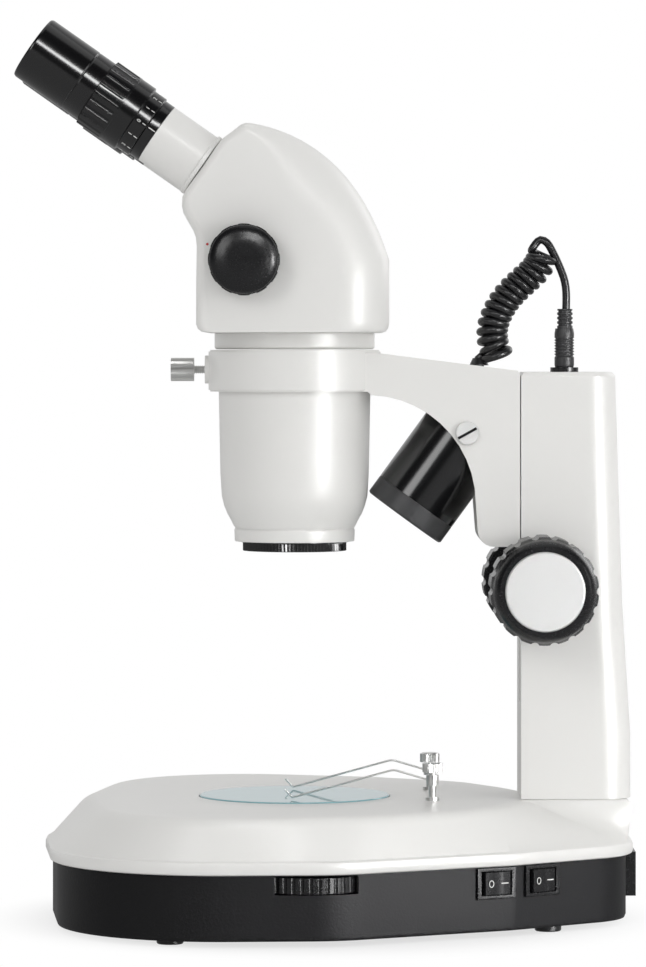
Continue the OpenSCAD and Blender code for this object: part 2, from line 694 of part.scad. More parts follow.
// Housing shape: its side outline cut to a plan that is well rounded at the back
module housing_block(inset, corner) {
    front = -72 + inset;
    back = 31.8 - inset;
    half = head_half_w - inset;
    intersection() {
        across(head_half_w) offset(delta = -inset) polygon(housing_outline);
        translate([0, 0, 280]) linear_extrude(130) union() {
            translate([front, -half]) square([back - front - corner, 2 * half]);
            translate([front, -half + corner]) square([back - front, 2 * (half - corner)]);
            for (s = [-1, 1]) translate([back - corner, s * (half - corner)]) circle(r = corner);
        }
        across(half) square(2000, center = true);
    }
}

// Local frame of an eyepiece: +z out of the sloping face
module eye_frame(side) {
    translate([eye_face[0], side * eye_gap / 2, eye_face[1]]) rotate([0, eye_rise - 90, 0]) children();
}

module head_housing() {
    color(white) difference() {
        housing_block(0, 24);
        housing_block(3, 21);
        translate([optic_x, 0, 280]) cylinder(r = 30, h = 20, $fn = 96);
        along_y(zoom_x, zoom_z) cylinder(r = zoom_shaft_r + run_gap, h = 160, center = true);
        for (side = [-1, 1]) eye_frame(side) for (shift = [-5.2, 5.2])
            translate([0, shift, -8]) cylinder(r = 9.9, h = 16);
        for (side = [-1, 1]) eye_frame(side)
            translate([-9.9, -5.2, -8]) cube([19.8, 10.4, 16]);
    }
}

module zoom_guide_rods() {
    color(steel) both_sides() translate([optic_x, 28, 0]) {
        translate([0, 0, 300]) cylinder(r = 1.5, h = 54, $fn = 24);
        translate([-4, -3, 295.01]) cube([8, 6, 5]);
    }
}

module prisms() {
    color(glass) for (side = [-1, 1]) translate([-36, side * 18 - 9, 362]) cube([18, 18, 18]);
}

module zoom_knob() {
    r = zoom_knob_d / 2;
    difference() {
        rotate_extrude($fn = 96) polygon([[zoom_shaft_r + run_gap, head_half_w + 0.6], [r - 1, head_half_w + 0.6],
            [r, head_half_w + 2], [r, 65.4], [r - 0.7, 66], [r - 0.7, 67], [r - 1.2, 67.8], [r - 2.8, 68.9], [r - 8, 70.2], [0, 70.8], [0, 67.4],
            [zoom_shaft_r + run_gap, 67.4]]);
        for (a = [15 : 30 : 345]) rotate(a) translate([r + 1.4, 0, 40]) cylinder(r = 2.4, h = 25.6, $fn = 24);
    }
}

module zoom_knobs() { color(black) both_sides() along_y(zoom_x, zoom_z) zoom_knob(); }

module zoom_shaft() {
    color(steel) along_y(zoom_x, zoom_z) {
        cylinder(r = zoom_shaft_r, h = 134, center = true);
        translate([0, 0, -4]) linear_extrude(8) polygon(gear_points(zoom_pitch_r, zoom_teeth));
    }
}

module zoom_carriage() {
    color(brass) {
        difference() {
            union() {
                translate([optic_x - 14, -33, 322]) cube([28, 66, 4]);
                both_sides() translate([optic_x, 13, 312]) cylinder(r = 11, h = 24);
            }
            both_sides() translate([optic_x, 13, 300]) cylinder(r = 9.5, h = 60);
            both_sides() translate([optic_x, 28, 300]) cylinder(r = 1.5 + run_gap, h = 60, $fn = 24);
        }
        translate([zoom_x + zoom_pitch_r, 0, zoom_z]) mirror([1, 0, 0]) across(4) polygon(rack_points(20, 5.5));
    }
}

module zoom_lenses() {
    color(glass) both_sides() translate([optic_x, 13, 0]) for (z = [313.5, 331]) translate([0, 0, z]) cylinder(r = 9.4, h = 3.4);
}

// ---------- eyepieces ----------
module eyepiece_tube(side) {
    color(white) eye_frame(side) difference() {
        union() {
            translate([0, 0, safe_gap]) cylinder(r = tube_r, h = tube_len - safe_gap);
            translate([0, 0, -5.6]) cylinder(r = 9.5, h = 8);
            translate([-13, -9.8, -5.4]) cube([26, 19.6, 1.6]);
        }
        translate([0, 0, 1.6]) cylinder(r = 13.4, h = 40);
        translate([0, 0, -8]) cylinder(r = 8.2, h = 20);
    }
}
module eyepiece_tube_left() { eyepiece_tube(1); }
module eyepiece_tube_right() { eyepiece_tube(-1); }

module eyepiece_barrel(side) {
    color(black) eye_frame(side) rotate_extrude($fn = 96) polygon([[11.4, 6], [13.3, 6], [13.3, tube_len + 0.05],
        [15.8, tube_len + 0.05], [15.8, 33.4], [13.3, 33.4], [13.3, 74], [12.4, 90], [11.4, 90]]);
}
module eyepiece_barrel_left() { eyepiece_barrel(1); }
module eyepiece_barrel_right() { eyepiece_barrel(-1); }

module diopter_ring(side) {
    bore = 13.3 + run_gap;
    color(black) eye_frame(side) {
        rotate_extrude($fn = 96) polygon([[bore, 33.7], [16.4, 33.7], [16.75, 34.1], [16.75, 40.6], [18, 41.2], [18, 49.4],
            [bore, 49.4]]);
        difference() {
            translate([0, 0, 49.4]) cylinder(r = 18.15, h = 14.6, $fn = 96);
            translate([0, 0, 49]) cylinder(r = bore, h = 16);
            for (a = [0 : 15 : 345]) rotate(a) translate([18.6, 0, 50.6]) cylinder(r = 1.1, h = 20, $fn = 16);
        }
    }
}
module diopter_ring_left() { diopter_ring(1); }
module diopter_ring_right() { diopter_ring(-1); }

module eyecup(side) {
    color(black) eye_frame(side) rotate_extrude($fn = 96) polygon([[13.35, 64.3], [16.4, 64.3], [16.6, 64.6], [16.6, 73.4],
        [16.3, 73.8], [16.75, 74.3], [16.75, 101.6], [16.2, 102.8], [15.2, 103], [14.2, 102.4], [13.6, 100],
        [13.35, 95]]);
}
module eyecup_left() { eyecup(1); }
module eyecup_right() { eyecup(-1); }

module eye_lens(side) {
    color(glass) eye_frame(side) rotate_extrude() polygon([[0, 82], [11.3, 83], [11.3, 86.4], [0, 88.4]]);
}
module eye_lens_left() { eye_lens(1); }
module eye_lens_right() { eye_lens(-1); }

base_pan();
base_cover();
rubber_feet();
base_screws();
stage_plate();
stage_lamp_board();
power_board();
mains_inlet();
switch_bezels();
dimmer_pot();
clip_posts();
column();
column_bolts();
slide_rails();
shaft_bushes();
dc_jack();
dc_plug();
lamp_cord_lead();
lamp_cord_coil();
arm();
slide_carriage();
focus_rack();
cord_gland();
lamp_cord_tail();
pinion_shaft();
focus_knobs();
focus_knob_discs();
clamp_stud();
clamp_knob();
lamp_housing();
lamp_bezel();
lamp_lens();
lamp_led_board();
lamp_pivot_screws();
head_barrel();
neck_ring();
objective_ring();
objective_lens();
head_housing();
zoom_guide_rods();
prisms();
zoom_knobs();
zoom_shaft();
zoom_carriage();
zoom_lenses();
eyepiece_tube_left();
eyepiece_tube_right();
eyepiece_barrel_left();
eyepiece_barrel_right();
eyecup_left();
eyecup_right();
eye_lens_left();
eye_lens_right();
diopter_ring_left();
diopter_ring_right();
rocker_front();
rocker_rear();
dimmer_wheel();
stage_clip_left();
stage_clip_right();
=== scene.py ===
# %% [markdown]
# # A stereo microscope, finished part by part
# The frame holds every solid of the microscope at its real size. This lesson loads it, lights it,
# gives each part its finish, and models again the few parts whose soft edges, turns of cord or
# fine marks a construction model leaves out.

# %% Load the frame
import bpy
import json
import math
from mathutils import Vector, Matrix


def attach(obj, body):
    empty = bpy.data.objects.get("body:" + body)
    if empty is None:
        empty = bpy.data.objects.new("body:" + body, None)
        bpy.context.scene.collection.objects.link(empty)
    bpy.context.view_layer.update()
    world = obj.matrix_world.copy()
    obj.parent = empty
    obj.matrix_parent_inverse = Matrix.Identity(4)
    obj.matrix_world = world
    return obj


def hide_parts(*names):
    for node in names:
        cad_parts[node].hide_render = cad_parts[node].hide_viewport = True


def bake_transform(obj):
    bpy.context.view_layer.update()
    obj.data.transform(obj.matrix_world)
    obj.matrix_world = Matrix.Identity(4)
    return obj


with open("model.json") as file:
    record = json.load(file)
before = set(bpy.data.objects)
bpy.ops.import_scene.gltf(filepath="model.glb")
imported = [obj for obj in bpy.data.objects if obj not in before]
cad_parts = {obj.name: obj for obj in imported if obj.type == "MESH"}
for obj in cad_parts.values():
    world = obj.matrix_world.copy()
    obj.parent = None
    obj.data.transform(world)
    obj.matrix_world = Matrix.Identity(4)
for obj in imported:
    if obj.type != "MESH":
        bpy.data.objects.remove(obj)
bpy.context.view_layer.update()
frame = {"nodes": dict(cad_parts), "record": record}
nodes = frame["nodes"]
scene = bpy.context.scene

# %% [markdown]
# ## Camera
# The microscope is seen square from its side, from far enough away that upright lines stay upright.
# A long lens at the height of the arm does this, and a small shift brings the base into view
# without tilting the camera.

# %% Set up the camera
CAMERA_PLACE = (-0.001, -2.425, 0.281)
LENS_MM, SENSOR_MM = 180.6, 36
SHIFT_DOWN = -0.133
camera_data = bpy.data.cameras.new("side_camera")
camera_data.lens = LENS_MM
camera_data.sensor_width = SENSOR_MM
camera_data.shift_y = SHIFT_DOWN
camera_data.clip_end = 50
camera = bpy.data.objects.new("side_camera", camera_data)
camera.location = CAMERA_PLACE
camera.rotation_euler = (math.radians(90), 0, 0)
scene.collection.objects.link(camera)
scene.camera = camera
scene.view_settings.view_transform = "Standard"
print("camera: a", LENS_MM, "mm lens at", CAMERA_PLACE)

# %% [markdown]
# ## Studio
# A white room and wide soft lamps suit a pale instrument: the paint gets slow gradients, and the
# black knobs get one clear highlight each. A dark room with one hard lamp would be simpler, but it
# burns out white paint. Most light comes from the column side, so the head and the base grow a
# little darker towards the eyepieces. The room is white to the camera and through glass. On gloss
# it is bright behind the microscope and dim behind the camera, which keeps polished metal and
# gloss black from looking flat.

# %% Helpers for node trees


def blend_values(tree, factor, low, high):
    """A number that runs from low to high as the factor does. Each may be a socket or a number."""
    mix = tree.nodes.new("ShaderNodeMix")
    for name, value in (("Factor", factor), ("A", low), ("B", high)):
        if isinstance(value, (int, float)):
            mix.inputs[name].default_value = value
        else:
            tree.links.new(value, mix.inputs[name])
    return mix.outputs["Result"]


def greater(tree, first, second):
    """The greater of two values."""
    choice = tree.nodes.new("ShaderNodeMath")
    choice.operation = "MAXIMUM"
    tree.links.new(first, choice.inputs[0])
    tree.links.new(second, choice.inputs[1])
    return choice.outputs[0]


def ranged(tree, value, span, levels, interpolation="SMOOTHSTEP"):
    """A value that is carried from a span to a pair of levels."""
    carried = tree.nodes.new("ShaderNodeMapRange")
    carried.interpolation_type = interpolation
    carried.inputs["From Min"].default_value, carried.inputs["From Max"].default_value = span
    carried.inputs["To Min"].default_value, carried.inputs["To Max"].default_value = levels
    tree.links.new(value, carried.inputs["Value"])
    return carried.outputs["Result"]


def kinds_of_ray(tree):
    """Two values: 1 on rays from the camera or through glass, and 1 on rays off a glossy surface."""
    path = tree.nodes.new("ShaderNodeLightPath")
    direct = greater(tree, path.outputs["Is Camera Ray"], path.outputs["Is Transmission Ray"])
    return direct, path.outputs["Is Glossy Ray"]


# %% A white room
SOFT_LEVEL = 0.54
GLOSS_SPAN, GLOSS_LEVELS = (-0.1, 0.9), (0.04, 0.8)
world = bpy.data.worlds.new("white_room")
scene.world = world
world.use_nodes = True
room = world.node_tree
room.nodes.clear()
air = room.nodes.new("ShaderNodeBackground")
air.inputs["Color"].default_value = (1, 1, 1, 1)
facing = room.nodes.new("ShaderNodeTexCoord")
facing_parts = room.nodes.new("ShaderNodeSeparateXYZ")
out = room.nodes.new("ShaderNodeOutputWorld")
direct, glossy = kinds_of_ray(room)
room.links.new(facing.outputs["Generated"], facing_parts.inputs[0])
in_gloss = ranged(room, facing_parts.outputs["Y"], GLOSS_SPAN, GLOSS_LEVELS)
indirect = blend_values(room, glossy, SOFT_LEVEL, in_gloss)
room.links.new(blend_values(room, direct, indirect, 1.0), air.inputs["Strength"])
room.links.new(air.outputs[0], out.inputs[0])
print("room level:", SOFT_LEVEL)

# %% [markdown]
# ## Lamps
# The wide lamps do the lighting, and three small ones finish it. The low lamp sends a little light
# along the table to the black pan. The strip and the glint light nothing by themselves and are
# seen only as highlights, one along the lamp and the eyepieces, and one on the pan. A brighter room
# could do that too, but it would wash out the paint.

# %% Place the lamps
LAMPS = (
    ("key", (0.95, -1.0, 0.55), (0.05, 0, 0.2), (0.5, 1.1), 2.7),
    ("side", (1.7, -0.6, 0.5), (0.05, 0, 0.2), (0.6, 1.1), 3.3),
    ("fill", (-0.88, -1.7, 0.9), (0, 0, 0.25), (0.55, 0.85), 6.5),
    ("top", (0.1, 0.1, 2.0), (0, 0, 0), (1.6, 1.6), 4.6),
    ("rear", (1.3, 1.2, 0.9), (0, 0, 0.2), (1.0, 1.0), 5),
    ("low", (0.98, -0.95, 0.22), (0.12, -0.03, 0.05), (0.35, 0.35), 0.12),
    ("strip", (0.2, -1.2, 0.92), (-0.1, 0, 0.4), (0.5, 0.16), 4),
    ("glint", (1.0, -0.93, 0.2), (0.12, -0.03, 0.04), (0.7, 0.4), 1.4),
)
NARROW = math.radians(30)


def soft_lamp(name, place, aim, size, power):
    """A rectangular area lamp that faces a point, with its size in metres and its power in watts."""
    data = bpy.data.lights.new(name, "AREA")
    data.shape = "RECTANGLE"
    data.size, data.size_y = size
    data.energy = power
    lamp = bpy.data.objects.new(name, data)
    lamp.location = place
    direction = Vector(aim) - Vector(place)
    lamp.rotation_euler = direction.to_track_quat("-Z", "Y").to_euler()
    scene.collection.objects.link(lamp)
    return lamp


lamps = {row[0]: soft_lamp(*row) for row in LAMPS}
lamps["low"].data.spread = lamps["glint"].data.spread = NARROW
lamps["strip"].visible_diffuse = lamps["glint"].visible_diffuse = False
print("lamps:", ", ".join(lamps))

# %% [markdown]
# ## Floor
# A sheet of white paper would show its far edge, so the floor is paper only near the microscope,
# where it keeps the shadow, and fades into the white of the room around it.

# %% A pale floor that turns into the room
FLOOR_SIZE = 30
PAPER_WHITE = 0.93
PAPER_EDGE, ROOM_SHARE = (0.12, 0.18), (0.7, 1.0)
FLOOR_IN_GLOSS = 0.38
bpy.ops.mesh.primitive_plane_add(size=FLOOR_SIZE, location=(0, 0, 0))
floor = bpy.context.object
floor.name = "floor"
floor_finish = bpy.data.materials.new("floor")
floor_finish.use_nodes = True
tree = floor_finish.node_tree
tree.nodes.clear()
place = tree.nodes.new("ShaderNodeTexCoord")
away = tree.nodes.new("ShaderNodeVectorMath")
away.operation = "LENGTH"
tree.links.new(place.outputs["Object"], away.inputs[0])
paper = tree.nodes.new("ShaderNodeBsdfDiffuse")
paper.inputs["Color"].default_value = (PAPER_WHITE, PAPER_WHITE, PAPER_WHITE, 1)
glow = tree.nodes.new("ShaderNodeEmission")
direct, glossy = kinds_of_ray(tree)
fade = ranged(tree, away.outputs["Value"], PAPER_EDGE, ROOM_SHARE)
choose = tree.nodes.new("ShaderNodeMixShader")
out = tree.nodes.new("ShaderNodeOutputMaterial")
tree.links.new(blend_values(tree, greater(tree, direct, glossy), 0.0, fade), choose.inputs[0])
tree.links.new(blend_values(tree, glossy, 1.0, FLOOR_IN_GLOSS), glow.inputs["Strength"])
tree.links.new(paper.outputs[0], choose.inputs[1])
tree.links.new(glow.outputs[0], choose.inputs[2])
tree.links.new(choose.outputs[0], out.inputs[0])
floor.data.materials.append(floor_finish)
print("floor:", FLOOR_SIZE, "m wide")

# %% [markdown]
# ## Finishes
# The castings are painted, the knobs and the eyepieces are black plastic and anodised metal, and
# the cord is rubber. Every finish starts from the same few facts: a colour, how rough it is, and a
# fine relief that breaks up its highlights. One function builds that, with noise on object
# coordinates, so a grain has the same real size on every part. Images would need a flat layout of
# each part, and noise doesn't.

# %% One function for a surface with fine relief
BROAD_CLOUDS = 28
ROUGHNESS_SPREAD = 0.06
RELIEF_STRENGTH = 0.6
COAT_ROUGHNESS = 0.12
FINISHES = {}


def cloud(tree, scale, detail, place):
    """Noise on a place in the material."""
    noise = tree.nodes.new("ShaderNodeTexNoise")
    noise.inputs["Scale"].default_value = scale
    noise.inputs["Detail"].default_value = detail
    tree.links.new(place, noise.inputs["Vector"])
    return noise.outputs["Fac"]


def surface(name, colour, roughness, metallic=0.0, grain=900.0, depth=0.02, mottle=0.04, coat=0.0, gloss=0.5):
    """A finish with noise in its colour, its roughness and its relief, whose depth is in millimetres."""
    made = bpy.data.materials.new(name)
    made.use_nodes = True
    made.diffuse_color = (*colour, 1)
    tree = made.node_tree
    shader = tree.nodes["Principled BSDF"]
    shader.inputs["Metallic"].default_value = metallic
    shader.inputs["Specular IOR Level"].default_value = gloss
    shader.inputs["Coat Weight"].default_value = coat
    shader.inputs["Coat Roughness"].default_value = COAT_ROUGHNESS
    place = tree.nodes.new("ShaderNodeTexCoord").outputs["Object"]
    fine, broad = cloud(tree, grain, 3, place), cloud(tree, BROAD_CLOUDS, 4, place)

    tint = tree.nodes.new("ShaderNodeMix")
    tint.data_type = "RGBA"
    tint.inputs["A"].default_value = (*[c * (1 - mottle) for c in colour], 1)
    tint.inputs["B"].default_value = (*[min(1, c * (1 + mottle)) for c in colour], 1)
    tree.links.new(broad, tint.inputs["Factor"])
    tree.links.new(tint.outputs["Result"], shader.inputs["Base Color"])

    levels = (roughness * (1 - ROUGHNESS_SPREAD), roughness * (1 + ROUGHNESS_SPREAD))
    tree.links.new(ranged(tree, fine, (0, 1), levels, "LINEAR"), shader.inputs["Roughness"])

    relief = tree.nodes.new("ShaderNodeBump")
    relief.inputs["Strength"].default_value = RELIEF_STRENGTH
    relief.inputs["Distance"].default_value = depth * 0.001
    tree.links.new(fine, relief.inputs["Height"])
    tree.links.new(relief.outputs["Normal"], shader.inputs["Normal"])
    FINISHES[name] = made
    return made


def clear(name, colour, roughness, ior):
    """A tinted glass, whose tint is a faint cloud so that it isn't one flat value."""
    made = surface(name, colour, roughness, grain=300, depth=0.002, mottle=0.03)
    shader = made.node_tree.nodes["Principled BSDF"]
    shader.inputs["Transmission Weight"].default_value = 1.0
    shader.inputs["IOR"].default_value = ior


# %% The finishes of the microscope
WHITE, SOFT_BLACK = (0.79, 0.785, 0.765), (0.008, 0.008, 0.009)
surface("white_paint", WHITE, 0.36, grain=700, depth=0.03, mottle=0.012, coat=0.05, gloss=0.42)
surface("black_texture", SOFT_BLACK, 0.48, grain=900, depth=0.14, mottle=0.15, gloss=0.2)
surface("black_plastic", (0.006, 0.006, 0.007), 0.27, grain=900, depth=0.001, mottle=0.15)
surface("black_anodised", (0.003, 0.003, 0.0036), 0.16, grain=1500, depth=0.001, mottle=0.15, gloss=0.8)
surface("black_rubber", SOFT_BLACK, 0.3, grain=1300, depth=0.002, mottle=0.2, gloss=0.6)
surface("grey_rubber", (0.035, 0.035, 0.037), 0.42, grain=1300, depth=0.006, mottle=0.15)
surface("steel", (0.7, 0.7, 0.69), 0.32, metallic=1.0, grain=1500, depth=0.01, mottle=0.05)
surface("satin_aluminium", (0.78, 0.78, 0.77), 0.42, metallic=0.6, grain=1600, depth=0.02)
surface("brass", (0.62, 0.46, 0.2), 0.3, metallic=1.0, grain=1200, depth=0.01, mottle=0.08)
surface("circuit_board", (0.02, 0.14, 0.06), 0.4, grain=260, depth=0.08, mottle=0.35)
surface("stage_glass", (0.235, 0.43, 0.47), 0.04, grain=1500, depth=0.004, mottle=0.03)
clear("lens_glass", (0.9, 0.93, 1.0), 0.03, 1.52)
print("finishes:", ", ".join(FINISHES))

# %% Finish the solids
slot_of = {row["node"]: row["material_slot"] for row in frame["record"]["subparts"]}
LOOKS = {"dc_plug": "grey_rubber", "lamp_bezel": "grey_rubber", "lamp_pivot_screws": "satin_aluminium"}
for name, node in nodes.items():
    node.data.materials.clear()
    node.data.materials.append(FINISHES[LOOKS.get(name, slot_of[name])])
print("finished", len(nodes), "solids")

# %% [markdown]
# ## Edges of the machined parts
# A real edge is never perfectly sharp: it is broken by a file, a mould radius or a coat of paint,
# and that thin round catches the light. It could be cut by hand in each mesh. A weld, a bevel and
# weighted normals do the same as modifiers, on all solids alike and without touching their meshes.

# %% Break the edges
EDGE_BREAK = {"white_paint": 0.0005, "black_rubber": 0.0003, "stage_glass": 0.0003, "circuit_board": 0.0001}
OTHER_BREAK = 0.00025
WELD_DISTANCE = 0.00001
SHARPEST = math.radians(32)


def break_edges(node, width):
    """Joins a solid's loose triangles and rounds its sharp edges, as modifiers."""
    for polygon in node.data.polygons:
        polygon.use_smooth = True
    weld = node.modifiers.new("weld", "WELD")
    weld.merge_threshold = WELD_DISTANCE
    bevel = node.modifiers.new("bevel", "BEVEL")
    bevel.width = width
    bevel.segments = 2
    bevel.limit_method = "ANGLE"
    bevel.angle_limit = SHARPEST
    normals = node.modifiers.new("normals", "WEIGHTED_NORMAL")
    normals.keep_sharp = True


for name, node in nodes.items():
    break_edges(node, EDGE_BREAK.get(slot_of[name], OTHER_BREAK))
print("edges broken on", len(nodes), "parts")

# %% [markdown]
# ## Tools for curved shells
# The base cover, the head housing and other cast parts are closed skins that run round a middle.
# A grid is the plain start for each: its rows become rings of the skin, its last column is welded
# to its first, and its ends are closed or joined. One helper does this, so that each part only has
# to say where its rings lie.

# %% Wrap a grid round a body
MM = 0.001
SAME_PLACE = 1e-6


def select_none():
    """Deselects every object, because an operator acts on all that is selected."""
    if bpy.context.object and bpy.context.object.mode != "OBJECT":
        bpy.ops.object.mode_set(mode="OBJECT")
    bpy.ops.object.select_all(action="DESELECT")


def wrapped(name, rings, joined=False, capped=False, sharp=38):
    """A skin through rings of points in millimetres. joined welds the last ring to the first."""
    across, along = len(rings[0]), len(rings)
    select_none()
    bpy.ops.mesh.primitive_grid_add(x_subdivisions=across, y_subdivisions=along - 1 + joined, size=1)
    piece = bpy.context.object
    piece.name = name
    rows = list(rings) + ([rings[0]] if joined else [])
    for i, vertex in enumerate(piece.data.vertices):
        row, column = divmod(i, across + 1)
        vertex.co = Vector(rows[row][column % across]) * MM
    bpy.ops.object.mode_set(mode="EDIT")
    bpy.ops.mesh.select_all(action="SELECT")
    bpy.ops.mesh.remove_doubles(threshold=SAME_PLACE)
    bpy.ops.mesh.dissolve_degenerate(threshold=SAME_PLACE)
    if capped:
        bpy.ops.mesh.select_all(action="DESELECT")
        bpy.ops.mesh.select_non_manifold()
        bpy.ops.mesh.fill_holes(sides=0)
    bpy.ops.mesh.select_all(action="SELECT")
    bpy.ops.mesh.normals_make_consistent(inside=False)
    bpy.ops.object.mode_set(mode="OBJECT")
    bpy.ops.object.shade_smooth_by_angle(angle=math.radians(sharp))
    return piece


def dress(piece, body, finish, *stands_for):
    """Gives a piece its finish, its body and the solids that it stands for."""
    piece.data.materials.clear()
    piece.data.materials.append(FINISHES[finish])
    if body:
        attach(piece, body)
    if stands_for:
        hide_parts(*stands_for)
    print(piece.name, len(piece.data.polygons), "faces")
    return piece


def bend(start, corner, end, steps):
    """Points of a soft corner, from start to end, pulled towards the corner."""
    start, corner, end = Vector(start), Vector(corner), Vector(end)
    shares = [i / steps for i in range(steps + 1)]
    return [start * (1 - t) ** 2 + corner * (2 * t * (1 - t)) + end * t * t for t in shares]


# %% [markdown]
# ## The base cover
# The cover is one casting: a round bead at the bottom, a slope, and a flat deck with the hole for
# the stage plate. A beveled slab would give one even edge, but this slope is wide in front and
# steep beside the column. So its plan is the band that would lie round nine discs, and rays from
# one point on the deck meet the bead, the edge of the deck and the hole in turn. Each ray carries
# one section of the casting, and the sections make the skin.

# %% Plan outlines of the base
LIP_DISCS = ((-14.4, 0, 125), (-50, 48, 85), (-10, 68, 63), (60.2, 34.6, 60), (112.5, 20.5, 40))
DECK_DISCS = ((-9, 0, 110), (-43, 60, 66.5), (0, 52, 62), (36, 46, 48), (75.7, 4, 20))
RAY_START = Vector((20, 0))
OPTIC_X = -15.2
HOLE_RADIUS = 47.6
COLUMN_REAR, COLUMN_HALF = 152, 24
LEAST = 1e-6
RAYS = [math.radians(a / 1.5) for a in range(540)]


def band(discs, inset):
    """Points on the tightest band round discs, one for each half degree of its normal."""
    points = []
    for half_degree in range(720):
        angle = math.radians(half_degree / 2)
        normal = Vector((math.cos(angle), math.sin(angle)))
        centre, radius = max(
            ((Vector((x, side * y)), r - inset) for x, y, r in discs for side in (1, -1)),
            key=lambda disc: disc[0].dot(normal) + disc[1])
        points.append(centre + normal * radius)
    return points


def reach(points, angle):
    """How far the ray at an angle runs from RAY_START before it meets a closed outline."""
    ray = Vector((math.cos(angle), math.sin(angle)))
    for p, q in zip(points, points[1:] + points[:1]):
        p, q = p - RAY_START, q - RAY_START
        if ray.cross(p) <= 1e-9 and ray.cross(q) > 1e-9 and ray.dot(p) > 0:
            return p.cross(q - p) / ray.cross(q - p)
    raise ValueError("the ray misses the outline")


def strip_reach(angle):
    """How far a ray runs inside the strip that the column stands on."""
    side = abs(math.sin(angle))
    forward = math.cos(angle)
    to_side = COLUMN_HALF / side if side > LEAST else 1 / LEAST
    to_rear = (COLUMN_REAR - RAY_START.x) / forward if forward > LEAST else 0
    return min(to_side, to_rear)


def hole_reach(angle, radius):
    """How far a ray runs before it meets the round hole."""
    ray = Vector((math.cos(angle), math.sin(angle)))
    off = RAY_START - Vector((OPTIC_X, 0))
    along = off.dot(ray)
    return -along + math.sqrt(along * along - off.length_squared + radius * radius)


lip_bands = {inset: band(LIP_DISCS, inset) for inset in (0, 0.5, 1.6, 2.4, 3.4, 6)}
lip_at = {inset: [reach(points, a) for a in RAYS] for inset, points in lip_bands.items()}
deck_band = band(DECK_DISCS, 0)
deck_at = [max(reach(deck_band, a), strip_reach(a)) for a in RAYS]
print("base outlines:", len(RAYS), "rays")

# %% Sections of the cover, ray by ray
DECK_Z, SHOULDER_Z, LIP_Z = 61.0, 41.2, 34.5
EDGE_SOFTNESS = 5.0
WALL = 3


def cover_section(i):
    """One section, as (distance along the ray, height): bead, slope, soft edge, deck, hole, inside."""
    lip = {inset: values[i] for inset, values in lip_at.items()}
    deck = deck_at[i]
    hole = hole_reach(RAYS[i], HOLE_RADIUS)
    foot, edge = Vector((lip[2.4], SHOULDER_Z)), Vector((deck, DECK_Z))
    slope = edge - foot
    soft = min(EDGE_SOFTNESS, slope.length * 0.4)
    start = edge - slope.normalized() * soft
    bead = [(3.4, 0.1), (1.6, 0), (0.5, 0.5), (0, 1.8), (0, 4.6), (0.5, 5.9), (1.6, 6.5)]
    outside = [(lip[inset], LIP_Z + up) for inset, up in bead] + [foot]
    slope_rows = [foot.lerp(start, t) for t in (0.33, 0.67)]
    corner = bend(start, edge, (deck - soft, DECK_Z), 6)
    flat = [(hole + (deck - soft - hole) * t, DECK_Z) for t in (0.6, 0.25)]
    rim = [(hole + 0.8, DECK_Z), (hole + 0.2, DECK_Z - 0.25), (hole, DECK_Z - 0.8), (hole, DECK_Z - WALL)]
    inside = [(deck - soft - 2, DECK_Z - WALL), (lip[6], SHOULDER_Z - 2), (lip[6], LIP_Z + 0.1)]
    return [Vector(p) for p in [*outside, *slope_rows, *corner, *flat, *rim, *inside]]


def on_ray(angle, point):
    """A section point in space."""
    return (RAY_START.x + point.x * math.cos(angle), point.x * math.sin(angle), point.y)


sections = [[on_ray(a, p) for p in cover_section(i)] for i, a in enumerate(RAYS)]
cover = wrapped("base_cover_casting", list(zip(*sections)), joined=True, sharp=32)
dress(cover, "stand", "white_paint", "base_cover")

# %% [markdown]
# ## The head housing
# Seen from the side the housing has a straight front, a sloping face for the eyepieces and one long
# curve down its back. Its front edges are tight and its back edge is very round, which one bevel
# can't do. So the skin runs from one side to the other through copies of that outline: each outline
# point has its own edge radius, and near the sides it draws in along that round.

# %% Side outline of the housing
HOUSING_Z = 292
HALF_WIDTH = 51
FRONT_RADIUS, BACK_RADIUS = 4.5, 25.0
ROUND_GROWS = (-42, 2)
UNDERSIDE_Z = 295


def arc_back(steps):
    """The long curve from the top down to the upright back."""
    return [tuple(p) for p in bend((-37.1, 394.8), (13, 388), (31.8, 327.7), steps)]


HOUSING = [
    (-40, HOUSING_Z), (-58.2, HOUSING_Z), (-60.6, 292.4), (-62.3, 293.7), (-63.2, 296), (-63.2, 315),
    (-62.9, 334), (-63.3, 338.6), (-64.6, 342), (-67.5, 347), (-69.4, 350.6), (-70.2, 354), (-70, 358.5),
    (-68.3, 361.7), (-59.8, 373.8), (-51.4, 385.8), (-49.7, 387.6), (-45, 391), (-41.5, 393.8),
    (-39.4, 394.7), *arc_back(22), (31.8, 315), (31.8, 297), (31.3, 294.2), (30, 292.6),
    (28.5, HOUSING_Z), (-10, HOUSING_Z)]


def smooth_step(low, high, x):
    """0 below low, 1 above high, and an even rise between."""
    t = min(1, max(0, (x - low) / (high - low)))
    return t * t * (3 - 2 * t)


def edge_radius(x):
    """Tight in front, and growing to the full round over the top of the head."""
    return FRONT_RADIUS + (BACK_RADIUS - FRONT_RADIUS) * smooth_step(*ROUND_GROWS, x)


def inward(i):
    """The direction in which an outline point draws in. The underside draws in along itself."""
    x, z = HOUSING[i]
    before, after = Vector(HOUSING[i - 1]), Vector(HOUSING[(i + 1) % len(HOUSING)])
    along = (after - before).normalized()
    normal = Vector((along.y, -along.x))
    if z < UNDERSIDE_Z:
        return Vector(((x < -50) - (x > 0), 0))
    return normal


